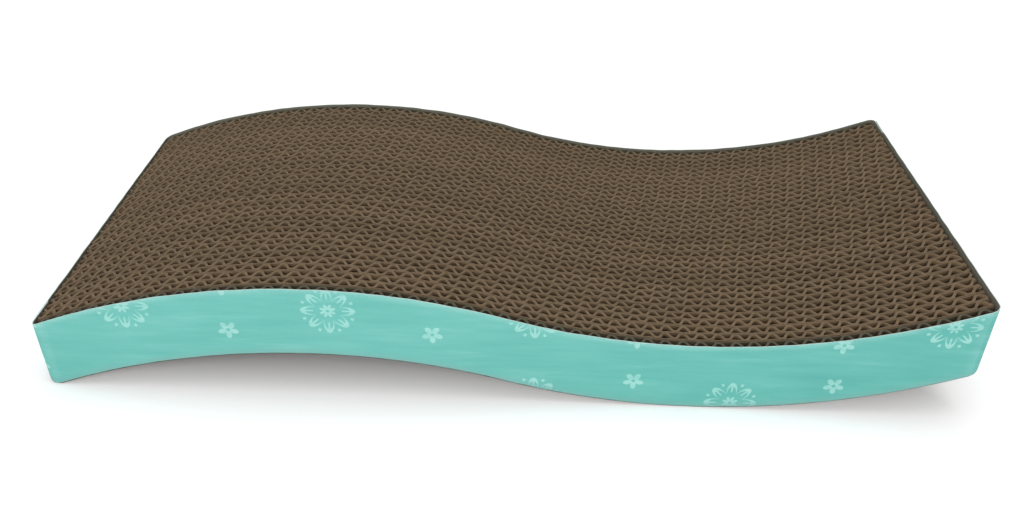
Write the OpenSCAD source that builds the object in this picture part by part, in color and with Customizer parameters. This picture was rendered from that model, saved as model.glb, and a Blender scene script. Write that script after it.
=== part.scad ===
// Wave shaped cat scratcher. Upright strips of corrugated board stand side by side, glued face
// to face, and a printed wrap of thin card in two halves goes round the outside.
// Units are millimetres. It rests on the floor as in use, on its trough and its lower left corner.

/* [Wave] */
// Length of the corrugated core along the chord of the wave
core_length = 448; // [380:1:520]
// Height of the core, measured along the flutes
core_height = 37; // [30:1:60]
// Distance of the crest and of the trough from the middle of the core
crest_offset = 95.2; // [80:0.4:120]
// Rise of the crest above the middle, which is the fall of the trough below it as well
crest_height = 13.6; // [9:0.2:18]
// Rounding of the lower corners, seen from the side
lower_corner_radius = 5; // [3:0.5:9]
// Rounding of the board's upper corners, seen from the side
upper_corner_radius = 2.5; // [1.5:0.5:6]

/* [Corrugated board] */
// Number of strips across the width
strip_count = 36; // [20:1:40]
// Thickness of one strip of board, liners included
board_thickness = 5.5; // [4.6:0.1:7]
// Thickness of each flat liner sheet
liner_thickness = 0.35; // [0.25:0.05:0.6]
// Thickness of the fluted sheet between the liners
flute_thickness = 0.3; // [0.2:0.05:0.45]
// Distance from one flute to the next
flute_pitch = 8.4; // [7.5:0.1:9.5]
// Sideways shift of the flutes from one strip to the next
flute_drift = 1.18; // [0:0.02:3]
// Glue film between the flute tips and the liners
starch_film = 0.05; // [0.03:0.01:0.1]

/* [Wrap] */
// Thickness of the printed card
card_thickness = 0.45; // [0.3:0.05:0.8]
// Glue film between the core and the card that lies on it
wrap_film = 0.15; // [0.1:0.05:0.3]
// Glue film between a tab and the end panel that covers it
tab_film = 0.1; // [0.05:0.05:0.3]
// Inner radius of the card's folds at the four upright corners
fold_radius = 4; // [1:0.1:4.4]
// Length of the glue tab, which lies under the other half's end panel
tab_length = 16; // [10:1:25]
// Gap between the free edge of an end panel and the fold beside it
seam_gap = 0.4; // [0.2:0.1:1]
// Height of the wrap's upper edge above the core
wrap_proud = 1.2; // [0.4:0.1:2]
// Height of the wrap's lower edge above the underside of the core
wrap_recess = 0.8; // [0.7:0.1:2]

/* [Hidden] */
// Smoothness of the arcs where they are drawn as a mesh
$fn = 160;
// Overrun of what is drawn or cut past the surface that trims it
overrun = 1;
// Overlap that makes a rounding cross its edges, where a bare touch could leave a sliver
crossing = 0.005;

// Two equal arcs that meet at the middle, with a common tangent, make the wave
wave_radius = (pow(crest_offset, 2) + pow(crest_height, 2)) / (2 * crest_height);
core_width = strip_count * board_thickness;
reach = core_height + 2 * crest_height + wrap_proud + overrun;

// The fluted sheet runs in a zigzag from one glue film to the other
flute_height = board_thickness - 2 * (liner_thickness + starch_film);
half_pitch = flute_pitch / 2;
flank_angle = acos(flute_thickness / norm([flute_height, half_pitch])) - atan2(half_pitch, flute_height);
flank_rise = half_pitch * tan(flank_angle);
flank_depth = flute_height - flank_rise;
starch_width = flute_thickness;

// Inner faces of the wrap's tabs, end panels and side panels
tab_face = core_length / 2 + wrap_film;
end_face = tab_face + card_thickness + tab_film;
outer_face = end_face + card_thickness;
side_face = core_width / 2 + wrap_film;
corner_radius = fold_radius - wrap_film;

// Centre of an arc of the wave, for an edge lifted by a given height.
// End is -1 at the left, where the crest is, and 1 at the right.
function arc_centre(end, lift) =
    [end * crest_offset, end * (wave_radius - crest_height) + lift];

// Centre of the rounding between an upright end and an edge. Up is 1 at the upper edge, or -1.
function rounding_centre(end, up, half_length, lift, radius) =
    let (
        run = end * (half_length - radius) - arc_centre(end, lift).x,
        rise = sqrt(pow(wave_radius + end * up * radius, 2) - pow(run, 2))
    )
    arc_centre(end, lift) + [run, -end * rise];

// Upper edge of an end panel at its outer face, and its lower edge, just clear of the rounding
function panel_top(end) =
    let (run = end * outer_face - arc_centre(end, wrap_proud).x)
    arc_centre(end, wrap_proud).y - end * sqrt(pow(wave_radius, 2) - pow(run, 2));
function panel_bottom(end) =
    rounding_centre(end, -1, end_face, wrap_recess - core_height, lower_corner_radius).y + card_thickness;

// Lean of the chord when the core stands on its trough and on its lower left corner
foot = rounding_centre(-1, -1, core_length / 2, -core_height, lower_corner_radius);
trough = arc_centre(1, -core_height);
span = trough - foot;
lean = asin((wave_radius - lower_corner_radius) / norm(span)) - atan2(span.y, span.x);

// Ends and floor of the leaning part, which set its origin
function along(x, z) = x * cos(lean) - z * sin(lean);
left_end = along(-outer_face, panel_top(-1));
right_end = along(outer_face, panel_bottom(1));
floor_level = trough.x * sin(lean) + trough.y * cos(lean) - wave_radius;

function strip_name(index) = str("strip_", index < 9 ? "0" : "", index + 1);

// Stands what is drawn along the chord on the floor, centred over the origin
module stand() {
    translate([-(left_end + right_end) / 2, 0, -floor_level])
        rotate([0, -lean, 0])
            children();
}

module disc(centre, radius) {
    translate(centre) circle(radius);
}

// Side view of the wave between two edges, given by their lifts above the core's upper edge
module wave_band(half_length, top, bottom) {
    for (end = [-1, 1])
        intersection() {
            translate([min(end, 0) * half_length, -reach]) square([half_length, 2 * reach]);
            difference() {
                disc(arc_centre(end, end < 0 ? top : bottom), wave_radius);
                disc(arc_centre(end, end < 0 ? bottom : top), wave_radius);
            }
        }
}

// What a rounded corner loses, between the upright end and the edge
module corner_waste(end, up, half_length, lift, radius) {
    centre = rounding_centre(end, up, half_length, lift, radius);
    to_arc = arc_centre(end, lift) - centre;
    outward = end * up * to_arc / norm(to_arc);
    past = radius + overrun;
    bisector = [end, 0] + outward;
    difference() {
        polygon([
            centre,
            centre + past * [end, 0],
            centre + past * bisector / (bisector * outward),
            centre + past * outward
        ]);
        disc(centre, radius + crossing);
    }
}

module rounded_wave(half_length, top, bottom) {
    difference() {
        wave_band(half_length, top, bottom);
        for (end = [-1, 1]) {
            corner_waste(end, 1, half_length, top, upper_corner_radius);
            corner_waste(end, -1, half_length, bottom, lower_corner_radius);
        }
    }
}

// A side view made solid between two places across the width
module across(from, to) {
    translate([0, to, 0])
        rotate([90, 0, 0])
            linear_extrude(to - from)
                children();
}

// A plan made solid from below the wave to above it
module upward() {
    translate([0, 0, -reach])
        linear_extrude(2 * reach)
            children();
}

// Core seen from above, with the corners crushed by the folds of the wrap
module core_plan() {
    for (x = [-1, 1], y = [-1, 1])
        disc([x * (core_length / 2 - corner_radius), y * (core_width / 2 - corner_radius)],
            corner_radius);
    square([core_length - 2 * corner_radius, core_width], center = true);
    square([core_length, core_width - 2 * corner_radius], center = true);
}

// Dab of starch that joins a flute tip to the front or the rear liner, seen from above
module starch_dab(rear) {
    length = liner_thickness / 2 + starch_film + starch_width / 2 * tan(flank_angle) + flank_depth / 2;
    front = rear ? board_thickness - liner_thickness / 2 - length : liner_thickness / 2;
    translate([-starch_width / 2, front])
        square([starch_width, length]);
}

// One strip of board seen from above, its front face at zero. Tips of the fluted sheet follow
// each other half a pitch apart, at the rear and in front by turns. The sheets are joined at the
// last two tips at each end, and elsewhere the tips stop a glue film short of the liners.
module board_plan(phase) {
    free_end = core_length / 2 - fold_radius - starch_width;
    first = ceil((-free_end - phase) / half_pitch);
    last = floor((free_end - phase) / half_pitch);
    past = ceil((fold_radius + flute_pitch) / half_pitch);
    tips = [for (tip = [first - past : last + past])
        [phase + tip * half_pitch, liner_thickness + starch_film + (tip % 2 == 0 ? flank_rise : 0)]];

    for (front = [0, board_thickness - liner_thickness])
        translate([-core_length / 2 - overrun, front])
            square([core_length + 2 * overrun, liner_thickness]);
    polygon(concat(tips, [for (tip = [len(tips) - 1 : -1 : 0]) tips[tip] + [0, flank_depth]]));
    for (tip = [first, first + 1, last - 1, last])
        translate([phase + tip * half_pitch, 0])
            starch_dab(tip % 2 == 0);
}

module strip(index) {
    front = index * board_thickness - core_width / 2;
    outermost = index == 0 || index == strip_count - 1;
    color("#7a644e")
        stand()
            intersection() {
                across(front, front + board_thickness)
                    rounded_wave(core_length / 2, 0, -core_height);
                translate([0, front, 0])
                    upward()
                        board_plan((index * flute_drift) % flute_pitch);
                if (outermost)
                    upward() core_plan();
            }
}

// Fold of the card round an upright corner, seen from above. End is -1 for the left, or 1.
module fold(end) {
    outer = fold_radius + card_thickness;
    intersection() {
        difference() {
            circle(outer);
            circle(fold_radius);
        }
        translate([min(end, 0) * outer, -outer]) square(outer);
    }
}

// Front half of the wrap from above: a side panel, an end panel at the right, a tab at the left
module wrap_plan() {
    panel_start = fold_radius - tab_face;
    panel_end = end_face - fold_radius;
    fold_line = fold_radius - side_face;
    translate([panel_start, -side_face - card_thickness])
        square([panel_end - panel_start, card_thickness]);
    translate([panel_end, fold_line]) fold(1);
    translate([end_face, fold_line])
        square([card_thickness, -2 * fold_line - seam_gap]);
    translate([panel_start, fold_line]) fold(-1);
    translate([-tab_face - card_thickness, fold_line])
        square([card_thickness, tab_length]);
}

// Side view of the wrap, rounded at its lower corners only, with end panels that are cut square
module wrap_outline() {
    bottom = wrap_recess - core_height;
    difference() {
        wave_band(outer_face, wrap_proud, bottom);
        for (end = [-1, 1]) {
            corner_waste(end, -1, end_face, bottom, lower_corner_radius);
            translate([end < 0 ? -outer_face - overrun : end_face, -reach])
                square([card_thickness + overrun, panel_bottom(end) + reach]);
        }
    }
}

// Half of the wrap, turned round the upright axis
module wrap_half(turn) {
    half_width = side_face + card_thickness + overrun;
    color("#70c5bb")
        stand()
            intersection() {
                across(-half_width, half_width)
                    wrap_outline();
                upward()
                    rotate(turn)
                        wrap_plan();
            }
}

module wrap_front() {
    wrap_half(0);
}

module wrap_rear() {
    wrap_half(180);
}

for (index = [0 : strip_count - 1])
    strip(index);
wrap_front();
wrap_rear();
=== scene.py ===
import math

import bpy
from mathutils import Matrix, Vector, noise


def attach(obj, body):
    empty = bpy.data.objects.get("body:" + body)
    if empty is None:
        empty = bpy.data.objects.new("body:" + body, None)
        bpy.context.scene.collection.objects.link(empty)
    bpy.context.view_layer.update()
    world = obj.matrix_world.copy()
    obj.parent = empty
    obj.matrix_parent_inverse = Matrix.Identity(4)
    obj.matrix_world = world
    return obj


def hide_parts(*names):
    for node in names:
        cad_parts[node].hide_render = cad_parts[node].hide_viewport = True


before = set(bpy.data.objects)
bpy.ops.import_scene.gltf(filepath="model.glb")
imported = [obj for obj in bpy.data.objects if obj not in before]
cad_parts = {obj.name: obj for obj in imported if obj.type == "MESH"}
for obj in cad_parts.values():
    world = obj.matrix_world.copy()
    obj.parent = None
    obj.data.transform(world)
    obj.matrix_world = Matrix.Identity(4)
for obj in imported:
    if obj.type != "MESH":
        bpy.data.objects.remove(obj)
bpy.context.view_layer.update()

print("frame loaded:", len(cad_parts), "nodes")

# Sizes in metres. The wave is drawn along its chord, then leaned until it rests on the floor.
wave = {
    "length": 0.448,
    "height": 0.037,
    "crestOffset": 0.0952,    # crest and trough from the middle
    "crestHeight": 0.0136,
    "lowerCorner": 0.005,     # roundings seen from the side
    "upperCorner": 0.0012,    # tighter than the solid's
}

board = {
    "count": 36,
    "thickness": 0.0055,
    "liner": 0.00028,
    "flute": 0.0003,
    "pitch": 0.0084,
    "drift": 0.00118,         # shift of the flutes from strip to strip
    "squareness": 0.09,       # 0 makes the flutes a plain sine, more steepens their flanks
    "swing": 0.497,           # of the room between the liners, where 0.5 would touch them
    "endGap": 0.0004,         # by which the fluted sheet is shorter at each end
}

card = {
    "thickness": 0.00045,
    "film": 0.00015,
    "tabFilm": 0.0001,
    "foldRadius": 0.004,
    "tabLength": 0.016,
    "seamGap": 0.0004,
    "proud": 0.0012,          # upper edge above the core
    "recess": 0.0008,         # lower edge above the core's underside
}

halfWidth = board["count"] * board["thickness"] / 2

# Inner faces of the wrap's tabs, end panels and side panels, and the outer face of its ends
tabFace = wave["length"] / 2 + card["film"]
endFace = tabFace + card["thickness"] + card["tabFilm"]
outerFace = endFace + card["thickness"]
sideFace = halfWidth + card["film"]


class Wire:
    # One socket. Sums and products of wires add Math nodes.
    def __init__(self, bench, socket):
        self.bench, self.socket = bench, socket

    def calc(self, operation, *others):
        values = dict(enumerate((self,) + others))
        return self.bench.add("ShaderNodeMath", {"operation": operation}, values)

    def sibling(self, name):
        return Wire(self.bench, self.socket.node.outputs[name])

    def __add__(self, other):
        return self.calc("ADD", other)

    def __radd__(self, other):
        return self.calc("ADD", other)

    def __sub__(self, other):
        return self.calc("SUBTRACT", other)

    def __rsub__(self, other):
        return (self * -1).calc("ADD", other)

    def __mul__(self, other):
        return self.calc("MULTIPLY", other)

    def __rmul__(self, other):
        return self.calc("MULTIPLY", other)

    def __truediv__(self, other):
        return self.calc("DIVIDE", other)

    def __rtruediv__(self, other):
        return self.calc("POWER", -1.0) * other

    def __abs__(self):
        return self.calc("ABSOLUTE")


class Bench:
    # Adds the nodes of one tree.
    def __init__(self, tree):
        self.tree = tree

    def add(self, kind, settings=None, values=None, out=0):
        node = self.tree.nodes.new(kind)
        for name, setting in (settings or {}).items():
            setattr(node, name, setting)
        for key, value in (values or {}).items():
            for part in value if isinstance(value, list) else [value]:
                if isinstance(part, Wire):
                    self.tree.links.new(part.socket, node.inputs[key])
                else:
                    node.inputs[key].default_value = part
        return node if out is None else Wire(self, node.outputs[out])


# The same formulas serve numbers and wires
def isWire(value):
    return isinstance(value, Wire)


def square(value):
    return value * value


def root(value):
    return value.calc("SQRT") if isWire(value) else math.sqrt(max(value, 0.0))


def signOf(value):
    return value.calc("SIGN") if isWire(value) else (value > 0) - (value < 0)


def isPast(value, limit):
    return value.calc("GREATER_THAN", limit) if isWire(value) else float(value > limit)


def arcRadius(shape):
    offset, height = shape["crestOffset"], shape["crestHeight"]
    return (square(offset) + square(height)) / (2 * height)


def cornerCentre(side, up, half, lift, rounding, shape):
    # distance from the middle and height of a rounded corner's centre
    radius = arcRadius(shape)
    run = half - rounding - shape["crestOffset"]
    rise = root(square(radius + side * up * rounding) - square(run))
    return half - rounding, side * (radius - shape["crestHeight"]) + lift - side * rise


def arcHeight(x, lift, shape):
    # height of the wave's edge at x, without its corners
    side, radius = signOf(x), arcRadius(shape)
    level = side * (radius - shape["crestHeight"]) + lift
    return level - side * root(square(radius) - square(abs(x) - shape["crestOffset"]))


def edgeHeight(x, half, lift, up, rounding, shape):
    # height of the wave's upper or lower edge at x, corners included
    side, away, radius = signOf(x), abs(x), arcRadius(shape)
    plain = arcHeight(x, lift, shape)
    centreX, centreZ = cornerCentre(side, up, half, lift, rounding, shape)
    reach = radius + side * up * rounding
    tangent = shape["crestOffset"] + (centreX - shape["crestOffset"]) * radius / reach
    bend = centreZ + up * root(square(rounding) - square(away - centreX))
    return plain + (bend - plain) * isPast(away, tangent)


def panelBottom(side):
    # straight lower edge of an end panel of the wrap
    lift = card["recess"] - wave["height"]
    return cornerCentre(side, -1, endFace, lift, wave["lowerCorner"], wave)[1] + card["thickness"]


def restingPlace():
    # lean of the chord, and the shift that puts the box's underside on the floor
    radius, corner = arcRadius(wave), wave["lowerCorner"]
    x, z = cornerCentre(-1, -1, wave["length"] / 2, -wave["height"], corner, wave)
    foot = Vector((-x, z))
    trough = Vector((wave["crestOffset"], radius - wave["crestHeight"] - wave["height"]))
    span = trough - foot
    lean = math.asin((radius - corner) / span.length) - math.atan2(span.y, span.x)
    leftTop = arcHeight(-outerFace, card["proud"], wave)
    left = -outerFace * math.cos(lean) - leftTop * math.sin(lean)
    right = outerFace * math.cos(lean) - panelBottom(1) * math.sin(lean)
    floor = trough.x * math.sin(lean) + trough.y * math.cos(lean) - radius
    return lean, -(left + right) / 2, -floor


lean, shiftX, shiftZ = restingPlace()
print(f"lean {math.degrees(lean):.2f} degrees, shift {shiftX * 1e3:.2f} and {shiftZ * 1e3:.2f} mm")


def stood(x, y, z):
    return Vector((
        x * math.cos(lean) - z * math.sin(lean) + shiftX,
        y,
        x * math.sin(lean) + z * math.cos(lean) + shiftZ,
    ))


# Camera, at the viewing angle of the photograph
camera = {
    "place": (0.005185, -0.442157, 0.316044),
    "pitch": 33.936,          # degrees below level
    "yaw": -0.4908,
    "roll": 1.787,
    "lens": 32.974,           # mm, as is the sensor
    "sensor": 36,
    "near": 0.01,
    "far": 50,
}


def makeCamera():
    pitch, yaw, roll = (math.radians(camera[key]) for key in ("pitch", "yaw", "roll"))
    level = Vector((math.sin(yaw), math.cos(yaw), 0)) * math.cos(pitch)
    forward = level - Vector((0, 0, math.sin(pitch)))
    right = Vector((math.cos(yaw), -math.sin(yaw), 0))
    above = right.cross(forward)
    imageX = right * math.cos(roll) + above * math.sin(roll)
    imageY = above * math.cos(roll) - right * math.sin(roll)
    data = bpy.data.cameras.new("photoCamera")
    data.lens, data.sensor_width = camera["lens"], camera["sensor"]
    data.clip_start, data.clip_end = camera["near"], camera["far"]
    view = bpy.data.objects.new("photoCamera", data)
    turn = Matrix((imageX, imageY, -forward)).transposed()
    view.matrix_world = Matrix.Translation(camera["place"]) @ turn.to_4x4()
    bpy.context.scene.collection.objects.link(view)
    bpy.context.scene.camera = view


makeCamera()
print("camera placed")


# Finishes. Each grain is a noise about zero, given as its scale, detail and roughness.
grainSpread = 2.6             # stretches the noise to roughly -1 to 1


def newFinish(name):
    finish = bpy.data.materials.new(name)
    finish.use_nodes = True
    finish.node_tree.nodes.clear()
    return finish, Bench(finish.node_tree)


def closeFinish(bench, colour, roughness, normal, specular):
    shader = bench.add("ShaderNodeBsdfPrincipled", None, {
        "Base Color": colour,
        "Roughness": roughness,
        "Normal": normal,
        "Specular IOR Level": specular,
    })
    bench.add("ShaderNodeOutputMaterial", None, {"Surface": shader}, None)
    return shader.socket.node


def coordinates(bench):
    return bench.add("ShaderNodeTexCoord", None, None, "Object")


def splitVector(bench, vector):
    # its X, with Y and Z as siblings
    return bench.add("ShaderNodeSeparateXYZ", None, {0: vector})


def upwardShare(bench):
    # 1 on what faces up, 0 on upright walls
    normal = bench.add("ShaderNodeNewGeometry", None, None, "Normal")
    return splitVector(bench, normal).sibling("Z")


def stored(bench, name):
    return bench.add("ShaderNodeAttribute", {"attribute_name": name}, None, "Fac")


def grain(bench, place, scale, detail=3.0, roughness=0.6):
    stretched = bench.add("ShaderNodeMapping", None, {"Vector": place, "Scale": scale})
    spread = bench.add("ShaderNodeTexNoise", None, {
        "Vector": stretched, "Scale": 1.0, "Detail": detail, "Roughness": roughness,
    })
    return (spread - 0.5) * grainSpread


def grainsOf(bench, place, table):
    return {name: grain(bench, place, *choice) for name, choice in table.items()}


def weighed(weights, grains):
    # base value plus each named grain times its weight
    total = weights["base"]
    for name, weight in weights.items():
        if name != "base":
            total = total + weight * grains[name]
    return total


def ease(value, low, high):
    # 0 below low, 1 above high, and a soft step between them
    return value.bench.add(
        "ShaderNodeMapRange", {"interpolation_type": "SMOOTHSTEP"},
        {"Value": value, "From Min": low, "From Max": high},
    )


def limited(value):
    return value.calc("MAXIMUM", 0.0).calc("MINIMUM", 1.0)


def blendColours(bench, share, first, second):
    values = {0: share, 6: first, 7: second}
    return bench.add("ShaderNodeMix", {"data_type": "RGBA"}, values, 2)


def roughen(bench, height, strength, distance):
    values = {"Height": height, "Strength": strength, "Distance": distance}
    return bench.add("ShaderNodeBump", None, values)


# Raw board. Its walls get a painted shade that deepens with their depth below the cut, most in the
# middle of a channel.
linerPaper = {
    "wall": (0.205, 0.142, 0.083, 1),
    "wallDark": (0.150, 0.102, 0.060, 1),
    "cut": (0.104, 0.072, 0.042, 1),
    "cutPale": (0.159, 0.111, 0.067, 1),
}

flutingPaper = {
    "wall": (0.328, 0.229, 0.133, 1),
    "wallDark": (0.241, 0.164, 0.096, 1),
    "cut": (0.115, 0.080, 0.047, 1),
    "cutPale": (0.176, 0.124, 0.074, 1),
}

kraft = {
    # painted shade of the channel walls
    "paintedShade": (0.035, 0.024, 0.015, 1),
    "paintedShadeDepth": (0.0014, 0.0034),    # metres below the cut
    "hollowRange": (0.35, 0.95),      # from a channel's corners to its middle
    "cutRange": (0.45, 0.8),          # how far a face looks up, from wall to cut edge
    "toneSeed": 3.5,
    "specular": 0.25,
    "bump": (0.35, 0.0002),           # strength and depth
    "grains": {
        "fibres": ((260, 1500, 1500),),
        "blotches": ((26, 60, 40), 2.0),
        "specks": ((1500, 1500, 1500), 1.0),
        "shadeMottle": ((130, 200, 60), 2.0),
        "crumbs": ((330, 330, 120), 1.0),
    },
    "wallShare": {"base": 0.42, "fibres": 0.34, "blotches": 0.3, "tone": 0.5},
    "paintedShadeShare": {"base": 0.85, "shadeMottle": 0.45},
    "rimShare": {"base": 0.45, "specks": 0.5, "fibres": 0.35, "crumbs": 0.6, "tone": 0.35},
    "roughness": {"base": 0.86, "fibres": 0.07},
    "relief": {"base": 0.0, "fibres": 1.0, "specks": 0.7},
}

# Painted shadow along the outermost strips, where the raised rim of the wrap shades them
paintedRimShadow = {
    "colour": (0.058, 0.066, 0.049, 1),
    "strength": 0.9,
    "frontReach": 0.0060,     # from the wrap inward
    "rearReach": 0.0028,
    "softness": 0.0018,
    "share": {"base": 0.8, "fibres": 0.4},
}


def paintedRimShadowShare(y, grains):
    # painted shadow on the outermost strips, behind the wrap's raised rim
    front, rear = (halfWidth - paintedRimShadow[key] for key in ("frontReach", "rearReach"))
    edges = ease(y * -1, front, front + paintedRimShadow["softness"])
    edges = edges + ease(y, rear, rear + paintedRimShadow["softness"])
    return limited(edges * weighed(paintedRimShadow["share"], grains)) * paintedRimShadow["strength"]


def makeKraft(name, paper):
    finish, bench = newFinish(name)
    place = coordinates(bench)
    y = splitVector(bench, place).sibling("Y")
    number = ((y + halfWidth) / board["thickness"]).calc("FLOOR") + kraft["toneSeed"]
    tone = bench.add("ShaderNodeTexWhiteNoise", {"noise_dimensions": "1D"}, {"W": number})
    grains = grainsOf(bench, place, kraft["grains"])
    grains["tone"] = tone - 0.5       # different for each strip

    wallShare = limited(weighed(kraft["wallShare"], grains))
    wall = blendColours(bench, wallShare, paper["wallDark"], paper["wall"])
    # painted shade on the walls, darker with depth below the cut and towards a channel's middle
    depth = ease(stored(bench, "depth"), *kraft["paintedShadeDepth"])
    hollow = ease(stored(bench, "hollow"), *kraft["hollowRange"])
    paintedShadeShare = depth * hollow * limited(weighed(kraft["paintedShadeShare"], grains))
    wall = blendColours(bench, paintedShadeShare, wall, kraft["paintedShade"])

    rimShare = limited(weighed(kraft["rimShare"], grains))
    rim = blendColours(bench, rimShare, paper["cut"], paper["cutPale"])
    colour = blendColours(bench, ease(upwardShare(bench), *kraft["cutRange"]), wall, rim)
    # painted shadow behind the wrap's rim
    colour = blendColours(bench, paintedRimShadowShare(y, grains), colour, paintedRimShadow["colour"])

    normal = roughen(bench, weighed(kraft["relief"], grains), *kraft["bump"])
    roughness = limited(weighed(kraft["roughness"], grains))
    closeFinish(bench, colour, roughness, normal, kraft["specular"])
    return finish


# Print of the card, a generic pattern of rosettes and small blossoms
printed = {
    "ground": (0.171, 0.499, 0.450, 1),
    "groundDeep": (0.096, 0.391, 0.348, 1),
    "motif": (0.440, 0.745, 0.690, 1),
    "worn": (0.33, 0.60, 0.56, 1),
    "lowEdgeGreyTint": (0.190, 0.400, 0.372, 1),
    "columns": 0.096,         # from one rosette to the next
    "rows": 0.050,
    "firstRow": 0.003,
    "strength": 0.55,
    "paleStreaks": 0.10,
    "paleRange": (0.15, 0.9),
    "specular": 0.2,
    "bump": (0.2, 0.0003),
    "fibres": ((1400, 1400, 1400), 2.0),
    "grains": {               # on the card laid flat
        "streaks": ((22, 190, 1), 4.0, 0.65),
        "clouds": ((14, 40, 1), 2.0),
        "fade": ((3.2, 2, 1), 0.0),
    },
    "inkShare": {"base": 0.9, "streaks": 0.6, "fibres": 0.3},
    "groundShare": {"base": 0.5, "streaks": 0.42, "clouds": 0.3, "fade": -0.35},
    "wearShare": {"base": 0.62, "fibres": 0.5, "streaks": 0.4},
    "lowEdgeGreyShare": {"base": 0.8, "streaks": 0.4},
    "roughness": {"base": 0.62, "fibres": 0.05, "streaks": 0.04},
    "relief": {"base": 0.0, "fibres": 0.35, "clouds": 1.0},
}


def cellPlace(value, pitch, shift):
    # distance from the middle of the nearest cell
    share = ((value - shift) / pitch + 0.5).calc("FRACT")
    return (share - 0.5) * pitch


def petals(angle, count):
    # 1 along the middle of each petal, 0 between two of them
    return abs((angle * (count / 2)).calc("COSINE"))


def polar(across, up):
    return root(square(across) + square(up)), up.calc("ARCTAN2", across)


def inside(r, limits):
    return 1 - ease(r, *limits)


def flowerShape(r, leaf, motif, part):
    # an outline: its radius between petals, what a petal adds, and the range where the ink ends
    between, petal, *limits = motif[part]
    return inside(r - motif["radius"] * (between + petal * leaf), limits)


# Outlines, ring, dots and the start of the veins are shares of the radius
rosette = {
    "radius": 0.0128,
    "petals": 8,
    "outline": (0.45, 0.55, -0.0004, 0.0003),
    "hollow": (0.42, 0.40, -0.0003, 0.0003),
    "heart": (0.13, 0.17, -0.0002, 0.0003),
    "ring": 0.44,             # gap round the heart
    "ringGap": (0.00035, 0.00065),
    "veinStart": (0.5, 0.54),
    "veinWidth": (0.975, 0.99),
    "dots": 0.94,             # between the petals
    "dotSize": (0.0006, 0.0010),
    "dotWidth": (0.965, 0.985),
    "eye": (0.0006, 0.0010),
}


def rosetteMask(across, up):
    r, angle = polar(across, up)
    reach, count = rosette["radius"], rosette["petals"]
    leaf, sepal = petals(angle, count), petals(angle + math.pi / count, count)
    outline = flowerShape(r, leaf, rosette, "outline")
    hollow = flowerShape(r, leaf, rosette, "hollow")
    heart = flowerShape(r, sepal, rosette, "heart")
    vein = ease(leaf, *rosette["veinWidth"])
    vein = vein * ease(r, *(reach * share for share in rosette["veinStart"]))
    ring = ease(abs(r - reach * rosette["ring"]), *rosette["ringGap"])
    dots = inside(abs(r - reach * rosette["dots"]), rosette["dotSize"])
    dots = dots * ease(sepal, *rosette["dotWidth"])
    line = (outline - hollow) + vein * hollow
    return limited(line * ring + heart - inside(r, rosette["eye"]) + dots)


blossom = {
    "radius": 0.0050,
    "petals": 5,
    "turn": 0.3,
    "outline": (0.34, 0.66, -0.0003, 0.0003),
    "eye": (0.0007, 0.0011),
}


def blossomMask(across, up):
    r, angle = polar(across, up)
    leaf = petals(angle + blossom["turn"], blossom["petals"])
    return limited(flowerShape(r, leaf, blossom, "outline") - inside(r, blossom["eye"]))


def motifMask(u, v):
    # rosettes in every second column, with two blossoms to their one in the columns between
    columns, rows, firstRow = (printed[key] for key in ("columns", "rows", "firstRow"))
    rosettes = rosetteMask(cellPlace(u, columns, 0.0), cellPlace(v, rows, firstRow))
    between = cellPlace(u, columns, columns / 2)
    blossoms = blossomMask(between, cellPlace(v, rows / 2, firstRow + rows / 4))
    return limited(rosettes + blossoms)


def makePrinted():
    finish, bench = newFinish("printedCard")
    sheetPlace = bench.add("ShaderNodeUVMap", {"uv_map": "sheet"})
    u = splitVector(bench, sheetPlace)
    grains = grainsOf(bench, sheetPlace, printed["grains"])
    grains["fibres"] = grain(bench, coordinates(bench), *printed["fibres"])

    groundShare = limited(weighed(printed["groundShare"], grains))
    ground = blendColours(bench, groundShare, printed["groundDeep"], printed["ground"])
    pale = limited(printed["paleStreaks"] * ease(grains["streaks"], *printed["paleRange"]))
    ground = blendColours(bench, pale, ground, printed["motif"])
    ink = limited(weighed(printed["inkShare"], grains)) * printed["strength"]
    colour = blendColours(bench, motifMask(u, u.sibling("Y")) * ink, ground, printed["motif"])
    for label, share, tint in (("wear", "wearShare", "worn"), ("lowEdgeGrey", "lowEdgeGreyShare", "lowEdgeGreyTint")):
        amount = limited(stored(bench, label) * weighed(printed[share], grains))
        colour = blendColours(bench, amount, colour, printed[tint])

    normal = roughen(bench, weighed(printed["relief"], grains), *printed["bump"])
    roughness = limited(weighed(printed["roughness"], grains))
    closeFinish(bench, colour, roughness, normal, printed["specular"])
    return finish


# Raw inside of the card and its cut edges
backing = {
    "inside": (0.150, 0.138, 0.105, 1),
    "insidePale": (0.205, 0.190, 0.148, 1),
    "cut": (0.52, 0.66, 0.61, 1),
    "cutRange": (0.5, 0.8),
    "specular": 0.3,
    "bump": (0.3, 0.0002),
    "grains": {"fibres": ((900, 900, 900),)},
    "insideShare": {"base": 0.5, "fibres": 0.6},
    "cutShare": {"base": 0.9, "fibres": 0.3},
    "roughness": {"base": 0.8, "fibres": 0.1},
}


def makeBacking():
    finish, bench = newFinish("cardBackAndEdge")
    grains = grainsOf(bench, coordinates(bench), backing["grains"])
    insideShare = limited(weighed(backing["insideShare"], grains))
    colour = blendColours(bench, insideShare, backing["inside"], backing["insidePale"])
    cutShare = limited(weighed(backing["cutShare"], grains))
    cutShare = ease(abs(upwardShare(bench)), *backing["cutRange"]) * cutShare
    colour = blendColours(bench, cutShare, colour, backing["cut"])
    normal = roughen(bench, grains["fibres"], *backing["bump"])
    roughness = limited(weighed(backing["roughness"], grains))
    closeFinish(bench, colour, roughness, normal, backing["specular"])
    return finish


linerFinish = makeKraft("linerKraft", linerPaper)
flutingFinish = makeKraft("flutingKraft", flutingPaper)
printedFinish, backingFinish = makePrinted(), makeBacking()
print("finishes made")


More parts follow.
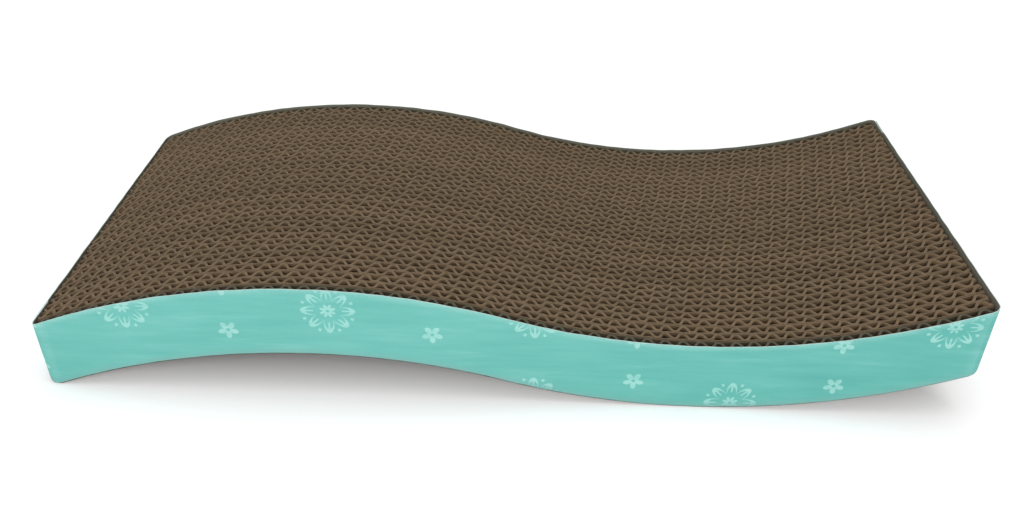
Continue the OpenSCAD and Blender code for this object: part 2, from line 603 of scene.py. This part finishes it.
# Strips of corrugated board, all from one node tree
strip = {
    "linerBurr": 1.5,         # how much thicker a sheet is at its cut edge
    "fluteBurr": 3.4,
    "fringe": 0.002,          # depth of the loosened rim along the cut
    "fray": 0.0003,
    "splay": 0.0008,          # how far the rims are pushed aside
    "stackWave": 0.00045,     # how far the glued rows stray from straight lines
    "pitchWander": 0.0012,    # how far flutes stray from their even places
    "phaseJitter": 0.0007,
    "unevenness": 0.00035,    # height differences between the strips
    "settled": 0.0004,        # how much lower the outermost strips lie
    "crush": 0.00385,         # rounding of the outermost corners
    "linerColumns": 520,      # mesh columns of a liner
    "fluteColumns": 15,       # and of a single flute
    "seed": 7.0,
    "seedStep": 1.37,         # from strip to strip
    "sheetSeeds": {"front": 0.0, "rear": 20.0, "fluting": 40.0},
    "fineNoise": (0.0011, 0.0),       # length over which a noise changes, and its own seed
    "longNoise": (0.012, 5.5),
    "splayNoise": (0.0055, 11.5),
    "wanderNoise": (0.045, 31.5),
    "stackNoise": (0.055, 0.03),      # lengths along and across the rows
    "phaseNoise": (3.7, 0.5, 0.5),    # step from strip to strip, and place on the other axes
    "riseNoise": (2.9, 7.5, 0.5),
}

# Edges that bend more than this stay sharp, on the wrap too
sharpAngle = math.radians(40)


def stray(index, kind):
    # noise about zero, different for each strip
    step, *place = strip[kind]
    return noise.noise((index * step, *place))


def stripSizes(index):
    # the values of the tree's inputs, by name
    last = board["count"] - 1
    phase = index * board["drift"] % board["pitch"]
    sunk = strip["settled"] * (index in (0, last))
    return {
        "Length": wave["length"],
        "Height": wave["height"],
        "Crest Offset": wave["crestOffset"],
        "Crest Height": wave["crestHeight"],
        "Lower Corner": wave["lowerCorner"],
        "Upper Corner": wave["upperCorner"],
        "Board": board["thickness"],
        "Liner": board["liner"],
        "Flute": board["flute"],
        "Liner Burr": strip["linerBurr"],
        "Flute Burr": strip["fluteBurr"],
        "Pitch": board["pitch"],
        "Phase": phase + stray(index, "phaseNoise") * 2 * strip["phaseJitter"],
        "Wander": strip["pitchWander"],
        "Fringe": strip["fringe"],
        "Fray": strip["fray"],
        "Splay": strip["splay"],
        "Stack Wave": strip["stackWave"],
        "Half Width": halfWidth,
        "Crush": strip["crush"],
        "Crush Front": float(index == 0),
        "Crush Rear": float(index == last),
        "Front": (index - board["count"] / 2) * board["thickness"],
        "Rise": stray(index, "riseNoise") * strip["unevenness"] - sunk,
        "Lean": lean,
        "Shift X": shiftX,
        "Shift Z": shiftZ,
        "Seed": strip["seed"] + index * strip["seedStep"],
    }


def noiseAt(bench, x, y, detail):
    # noise from about -0.5 to 0.5
    place = bench.add("ShaderNodeCombineXYZ", None, {0: x, 1: y})
    return bench.add("ShaderNodeTexNoise", {"noise_dimensions": "2D"}, {
        "Vector": place, "Scale": 1.0, "Detail": detail}) - 0.5


def makeStripTree():
    tree = bpy.data.node_groups.new("corrugatedStrip", "GeometryNodeTree")
    tree.interface.new_socket(
        name="Geometry", in_out="OUTPUT", socket_type="NodeSocketGeometry")
    names = list(stripSizes(0))
    for name in names:
        tree.interface.new_socket(name=name, in_out="INPUT", socket_type="NodeSocketFloat")
    bench = Bench(tree)
    given = bench.add("NodeGroupInput", None, None, None)
    size = {name: Wire(bench, given.outputs[name]) for name in names}
    shape = {"crestOffset": size["Crest Offset"], "crestHeight": size["Crest Height"]}
    half = size["Length"] / 2
    spot = splitVector(bench, bench.add("GeometryNodeInputPosition"))
    along, through, level = spot, spot.sibling("Y"), spot.sibling("Z")
    # the points of a sheet start in three rows, at -0.5, 0 and 0.5
    isTop, isLow = isPast(level, 0.25), isPast(level * -1, 0.25)

    def waver(x, kind, extraSeed=0.0):
        # noise along the strip
        length, seed = strip[kind]
        return noiseAt(bench, x / length, size["Seed"] + (seed + extraSeed), 2.0)

    def turnAt(x):
        # angle along the flutes, zero where the fluted sheet is at the rear
        wander = size["Wander"] * waver(x, "wanderNoise")
        return (x + wander - size["Phase"]) * math.tau / size["Pitch"]

    def heightsAt(x, sheetSeed):
        # height of the sheet's points above the chord, and their depth below the cut
        top = edgeHeight(x, half, 0.0, 1, size["Upper Corner"], shape) + size["Rise"]
        bottom = edgeHeight(x, half, size["Height"] * -1, -1, size["Lower Corner"], shape)
        fray = waver(x, "fineNoise", sheetSeed) + waver(x, "longNoise", sheetSeed)
        rim = top - size["Fringe"]
        z = isTop * (top + 2 * size["Fray"] * fray) + isLow * bottom + (1 - isTop - isLow) * rim
        return z, (1 - isTop) * size["Fringe"] + isLow * (rim - bottom)

    def strayedAcross(x, y):
        # place across the board, crushed at the outermost corners and never quite straight
        toRear = y / size["Board"]
        fromWrap = (size["Half Width"] - abs(size["Front"] + y)) / size["Board"]
        past = (abs(x) - (half - size["Crush"])).calc("MAXIMUM", 0.0)
        drop = size["Crush"] - root(square(size["Crush"]) - square(past))
        squeeze = 1 - (size["Crush Front"] + size["Crush Rear"]) * drop / size["Board"]
        y = size["Front"] + size["Crush Front"] * drop + y * squeeze
        alongRows, acrossRows = strip["stackNoise"]
        sway = noiseAt(bench, x / alongRows, y / acrossRows, 1.0)
        # liners that touch are pushed by the same noise
        push = (1 - toRear) * waver(x, "splayNoise")
        push = push + toRear * waver(x, "splayNoise", strip["seedStep"])
        moved = size["Stack Wave"] * sway + isTop * size["Splay"] * push
        return y + 2 * fromWrap.calc("MINIMUM", 1.0) * moved

    def sheet(columns, x, nearX, y, kind, hollow, fluted):
        # a thin closed sheet, its heights and noises taken at nearX
        z, depth = heightsAt(nearX, strip["sheetSeeds"][kind])
        mesh = bench.add("GeometryNodeMeshCube", None, {
            "Size": (1, 1, 1), "Vertices X": columns, "Vertices Y": 2, "Vertices Z": 3}, "Mesh")
        labels = ("depth", "POINT", depth), ("hollow", "POINT", hollow), ("fluted", "FACE", fluted)
        for label, domain, value in labels:
            settings = {"data_type": "FLOAT", "domain": domain}
            mesh = bench.add("GeometryNodeStoreNamedAttribute", settings, {
                "Geometry": mesh, "Name": label, "Value": value})
        cosine, sine = size["Lean"].calc("COSINE"), size["Lean"].calc("SINE")
        place = bench.add("ShaderNodeCombineXYZ", None, {
            0: x * cosine - z * sine + size["Shift X"],
            1: strayedAcross(nearX, y),
            2: x * sine + z * cosine + size["Shift Z"],
        })
        values = {"Geometry": mesh, "Position": place}
        return bench.add("GeometryNodeSetPosition", None, values)

    # liners, flat, at the front and at the rear
    x = along * size["Length"]
    thickness = size["Liner"] * (1 + size["Liner Burr"] * isTop)
    side = 0.5 * turnAt(x).calc("COSINE")
    front, rear = (through + 0.5) * thickness, size["Board"] + (through - 0.5) * thickness
    frontLiner = sheet(strip["linerColumns"], x, x, front, "front", 0.5 + side, 0.0)
    rearLiner = sheet(strip["linerColumns"], x, x, rear, "rear", 0.5 - side, 0.0)

    # fluted sheet of even thickness, its middle on a wave with a little of the third harmonic
    x = along * (size["Length"] - 2 * board["endGap"])
    turn, third = turnAt(x), board["squareness"]
    thickness = size["Flute"] * (1 + size["Flute Burr"] * isTop)
    swing = (size["Board"] - 2 * size["Liner"] - thickness) * board["swing"] / (1 - third)
    steepness = 3 * third * (3 * turn).calc("SINE") - turn.calc("SINE")
    slope = swing * math.tau / size["Pitch"] * steepness
    swung = turn.calc("COSINE") - third * (3 * turn).calc("COSINE")
    middle = size["Board"] / 2 + swing * swung
    offset = through * thickness * (1 / root(1 + square(slope)))
    count = int(strip["fluteColumns"] * wave["length"] / board["pitch"])
    hollow = 0.5 - through * turn.calc("COSINE")
    fluting = sheet(count, x - slope * offset, x, middle + offset, "fluting", hollow, 1.0)

    sheets = [frontLiner, rearLiner, fluting]
    joined = bench.add("GeometryNodeJoinGeometry", None, {"Geometry": sheets})
    real = bench.add("GeometryNodeRealizeInstances", None, {"Geometry": joined})
    isFluted = bench.add(
        "GeometryNodeInputNamedAttribute", {"data_type": "FLOAT"}, {"Name": "fluted"})
    papered = bench.add("GeometryNodeSetMaterial", None, {
        "Geometry": real, "Material": linerFinish})
    papered = bench.add("GeometryNodeSetMaterial", None, {
        "Geometry": papered, "Selection": isPast(isFluted, 0.5), "Material": flutingFinish})
    bench.add("NodeGroupOutput", None, {0: papered}, None)
    return tree


def makeStrip(tree, index):
    sizes = stripSizes(index)
    name = f"boardStrip{index + 1:02d}"
    piece = bpy.data.objects.new(name, bpy.data.meshes.new(name))
    bpy.context.scene.collection.objects.link(piece)
    modifier = piece.modifiers.new("fluting", "NODES")
    modifier.node_group = tree
    for socket in tree.interface.items_tree:
        if socket.in_out == "INPUT":
            modifier[socket.identifier] = sizes[socket.name]
    evaluated = piece.evaluated_get(bpy.context.evaluated_depsgraph_get())
    mesh = bpy.data.meshes.new_from_object(evaluated)
    piece.modifiers.remove(modifier)
    mesh.name = name
    mesh.shade_smooth()
    mesh.set_sharp_from_angle(angle=sharpAngle)
    piece.data = mesh
    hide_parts(f"strip_{index + 1:02d}")
    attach(piece, "root")
    return len(mesh.polygons)


stripTree = makeStripTree()
faceCount = sum(makeStrip(stripTree, index) for index in range(board["count"]))
print("strips made:", board["count"], "with", faceCount, "faces")


# The wrap: two bands of printed card, each a side panel, an end panel and a glue tab
band = {
    "step": 0.002,            # between mesh columns on the panels
    "foldSteps": 14,
    "rows": 12,
    "buckle": 0.00022,        # how far the card sinks between its glue lines
    "buckleShare": 0.6,       # of it that is taken from the outer face
    "buckleGrain": (24, 45),  # along the band and upward, per metre
    "nick": 0.00025,          # unevenness of the cut edges
    "lowNicks": (160, 2.5),   # per metre, and the row of their noise
    "highNicks": (130, 6.5),
    "creaseWear": 0.0042,     # from a fold's middle to where the print is rubbed most
    "creaseSpread": 0.0012,
    "creaseStrength": 0.4,
    "rimWear": 0.0012,        # height over which the rubbed rim fades
    "rimStrength": 0.8,
    "lowEdgeGreyFade": 0.0014,        # height over which the greyer lower edge fades
}

# The rear half is the front one turned round the upright axis
wrapHalves = {
    "wrapFrontCard": {"node": "wrap_front", "side": 1, "printStart": 0.031, "seed": 10.0},
    "wrapRearCard": {"node": "wrap_rear", "side": -1, "printStart": 0.353, "seed": 40.0},
}


def foldLengths():
    # lengths along the band at which the two folds lie
    arc = (card["foldRadius"] + card["thickness"] / 2) * math.pi / 2
    first = card["tabLength"] + arc / 2
    panel = endFace + tabFace - 2 * card["foldRadius"]
    return first, first + arc + panel


def creaseWear(length):
    # rubbing of the print on both sides of each fold
    away = min(abs(length - fold) for fold in foldLengths())
    return math.exp(-square((away - band["creaseWear"]) / band["creaseSpread"]))


def wrapStations():
    # middle line of the front half from above: place, outward normal and length so far
    mid = card["thickness"] / 2
    foldLine = card["foldRadius"] - sideFace
    leftX, rightX = card["foldRadius"] - tabFace, endFace - card["foldRadius"]
    tabX, sideY, endX = -tabFace - mid, -sideFace - mid, endFace + mid
    toLeft, toFront, toRight = Vector((-1, 0)), Vector((0, -1)), Vector((1, 0))
    seam = Vector((endX, -foldLine - card["seamGap"]))
    places = []

    def straight(start, end, normal):
        count = max(2, round((end - start).length / band["step"]))
        for n in range(count):
            places.append((start.lerp(end, n / count), normal))

    def fold(centre, first):
        for n in range(band["foldSteps"]):
            angle = math.radians(first + 90 * n / band["foldSteps"])
            out = Vector((math.cos(angle), math.sin(angle)))
            places.append((centre + out * (card["foldRadius"] + mid), out))

    straight(Vector((tabX, foldLine + card["tabLength"])), Vector((tabX, foldLine)), toLeft)
    fold(Vector((leftX, foldLine)), 180)
    straight(Vector((leftX, sideY)), Vector((rightX, sideY)), toFront)
    fold(Vector((rightX, foldLine)), 270)
    straight(Vector((endX, foldLine)), seam, toRight)
    places.append((seam, toRight))

    stations, length = [], 0.0
    for n, (spot, out) in enumerate(places):
        length += (spot - places[n - 1][0]).length if n else 0.0
        stations.append((spot, out, length))
    return stations


def bandEdge(x, up):
    # edge of the band in side view, cut square on the end panels
    if up > 0:
        return arcHeight(x, card["proud"], wave)
    if abs(x) < endFace:
        lift = card["recess"] - wave["height"]
        return edgeHeight(x, endFace, lift, -1, wave["lowerCorner"], wave)
    return panelBottom(math.copysign(1, x))


def nicked(length, seed, kind):
    rate, row = band[kind]
    return noise.noise((length * rate, seed, row))


def bandPoints(stations, side, printStart, seed):
    # points of the outer face, then of the inner face, with the values stored on them
    rows, mid = band["rows"], card["thickness"] / 2
    alongGrain, upGrain = band["buckleGrain"]
    values = {"place": [], "sheet": [], "wear": [], "lowEdgeGrey": []}
    for layer in (1, -1):
        for spot, out, length in stations:
            x = spot.x * side
            low = bandEdge(x, -1) + band["nick"] * 0.5 * nicked(length, seed, "lowNicks")
            high = bandEdge(x, 1) - band["nick"] * (0.5 + nicked(length, seed, "highNicks"))
            rowHeight = (high - low) / rows
            crease = creaseWear(length) * band["creaseStrength"]
            for row in range(rows + 1):
                z = low + rowHeight * row
                sink = 0.5 + 0.5 * noise.noise((length * alongGrain, z * upGrain, seed))
                buckle = band["buckle"] * sink * band["buckleShare"] * (layer > 0)
                flat = spot + out * (layer * mid - buckle)
                rim = math.exp(-(rows - row) * rowHeight / band["rimWear"])
                values["place"].append(stood(flat.x * side, flat.y * side, z))
                values["sheet"].append((printStart + length, z))
                values["wear"].append(min(1.0, crease + rim * band["rimStrength"]))
                # print darker and greyer towards the lower edge
                values["lowEdgeGrey"].append(math.exp(-row * rowHeight / band["lowEdgeGreyFade"]))
    return values


def bandFaces(count):
    # faces of the closed band, and whether each is printed (0) or raw (1)
    rows = band["rows"]
    faces, finishes = [], []

    def at(layer, station, row):
        return (layer * count + station) * (rows + 1) + row

    def addFace(corners, finish):
        faces.append(corners)
        finishes.append(finish)

    for n in range(count - 1):
        for row in range(rows):
            first, *others = (n, row), (n + 1, row), (n + 1, row + 1), (n, row + 1)
            addFace([at(0, *key) for key in (first, *others)], 0)
            addFace([at(1, *key) for key in (first, *others[::-1])], 1)
        for row, order in ((0, 1), (rows, -1)):
            rim = at(0, n, row), at(1, n, row), at(1, n + 1, row), at(0, n + 1, row)
            addFace(rim[::order], 1)
    for n, order in ((0, 1), (count - 1, -1)):
        for row in range(rows):
            cap = at(0, n, row), at(0, n, row + 1), at(1, n, row + 1), at(1, n, row)
            addFace(cap[::order], 1)
    return faces, finishes


def makeWrap(name, node, side, printStart, seed):
    stations = wrapStations()
    values = bandPoints(stations, side, printStart, seed)
    faces, finishes = bandFaces(len(stations))
    mesh = bpy.data.meshes.new(name)
    mesh.from_pydata(values["place"], [], faces)
    mesh.materials.append(printedFinish)
    mesh.materials.append(backingFinish)
    mesh.polygons.foreach_set("material_index", finishes)
    sheetMap = mesh.uv_layers.new(name="sheet")
    for loop in mesh.loops:
        sheetMap.data[loop.index].uv = values["sheet"][loop.vertex_index]
    for label in ("wear", "lowEdgeGrey"):
        mesh.attributes.new(label, "FLOAT", "POINT").data.foreach_set("value", values[label])
    mesh.shade_smooth()
    mesh.set_sharp_from_angle(angle=sharpAngle)
    piece = bpy.data.objects.new(name, mesh)
    bpy.context.scene.collection.objects.link(piece)
    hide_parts(node)
    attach(piece, "root")


for name, choices in wrapHalves.items():
    makeWrap(name, **choices)
print("wrap made")


# Studio
studio = {
    "reach": 6,               # of the floor, to each side
    "floor": (0.86, 0.86, 0.86, 1),
    "roughness": 0.9,
    "specular": 0.1,
    "glow": 0.2,              # light of the floor itself, but not where the board covers it
    "covered": (0.2, 0.07),   # half length and half width without that light
    "coveredEdge": 0.03,
    "world": 0.63,
    "target": (0, 0, 0.03),   # where the lights are aimed
    "lights": {
        "key": {"place": (-0.15, -1.6, 0.95), "size": 1.0, "power": 13.0},
        "above": {"place": (0.1, 0.1, 1.7), "size": 1.4, "power": 11.0},
    },
}


def makeLight(name, place, size, power):
    data = bpy.data.lights.new(name, "AREA")
    data.size, data.energy = size, power
    light = bpy.data.objects.new(name, data)
    light.location = place
    aim = Vector(studio["target"]) - Vector(place)
    light.rotation_euler = aim.to_track_quat("-Z", "Y").to_euler()
    bpy.context.scene.collection.objects.link(light)


def makeFloorFinish():
    finish, bench = newFinish("studioFloor")
    flat = (0, 0, 0)
    shader = closeFinish(bench, studio["floor"], studio["roughness"], flat, studio["specular"])
    x = splitVector(bench, coordinates(bench))
    halfLength, halfDepth = studio["covered"]
    away = (abs(x) - halfLength).calc("MAXIMUM", abs(x.sibling("Y")) - halfDepth)
    share = ease(away, 0.0, studio["coveredEdge"])
    glow = blendColours(bench, share, (0, 0, 0, 1), (1, 1, 1, 1))
    bench.tree.links.new(glow.socket, shader.inputs["Emission Color"])
    shader.inputs["Emission Strength"].default_value = studio["glow"]
    return finish


def makeStudio():
    reach = studio["reach"]
    corners = [(-reach, -reach, 0), (reach, -reach, 0), (reach, reach, 0), (-reach, reach, 0)]
    mesh = bpy.data.meshes.new("studioFloor")
    mesh.from_pydata(corners, [], [(0, 1, 2, 3)])
    mesh.materials.append(makeFloorFinish())
    floor = bpy.data.objects.new("studioFloor", mesh)
    bpy.context.scene.collection.objects.link(floor)
    for name, choices in studio["lights"].items():
        makeLight(name, **choices)
    world = bpy.data.worlds.new("studioWorld")
    world.use_nodes = True
    sky = world.node_tree.nodes["Background"]
    sky.inputs["Color"].default_value = (1, 1, 1, 1)
    sky.inputs["Strength"].default_value = studio["world"]
    bpy.context.scene.world = world
    bpy.context.scene.view_settings.view_transform = "Standard"


makeStudio()
print("studio lit")
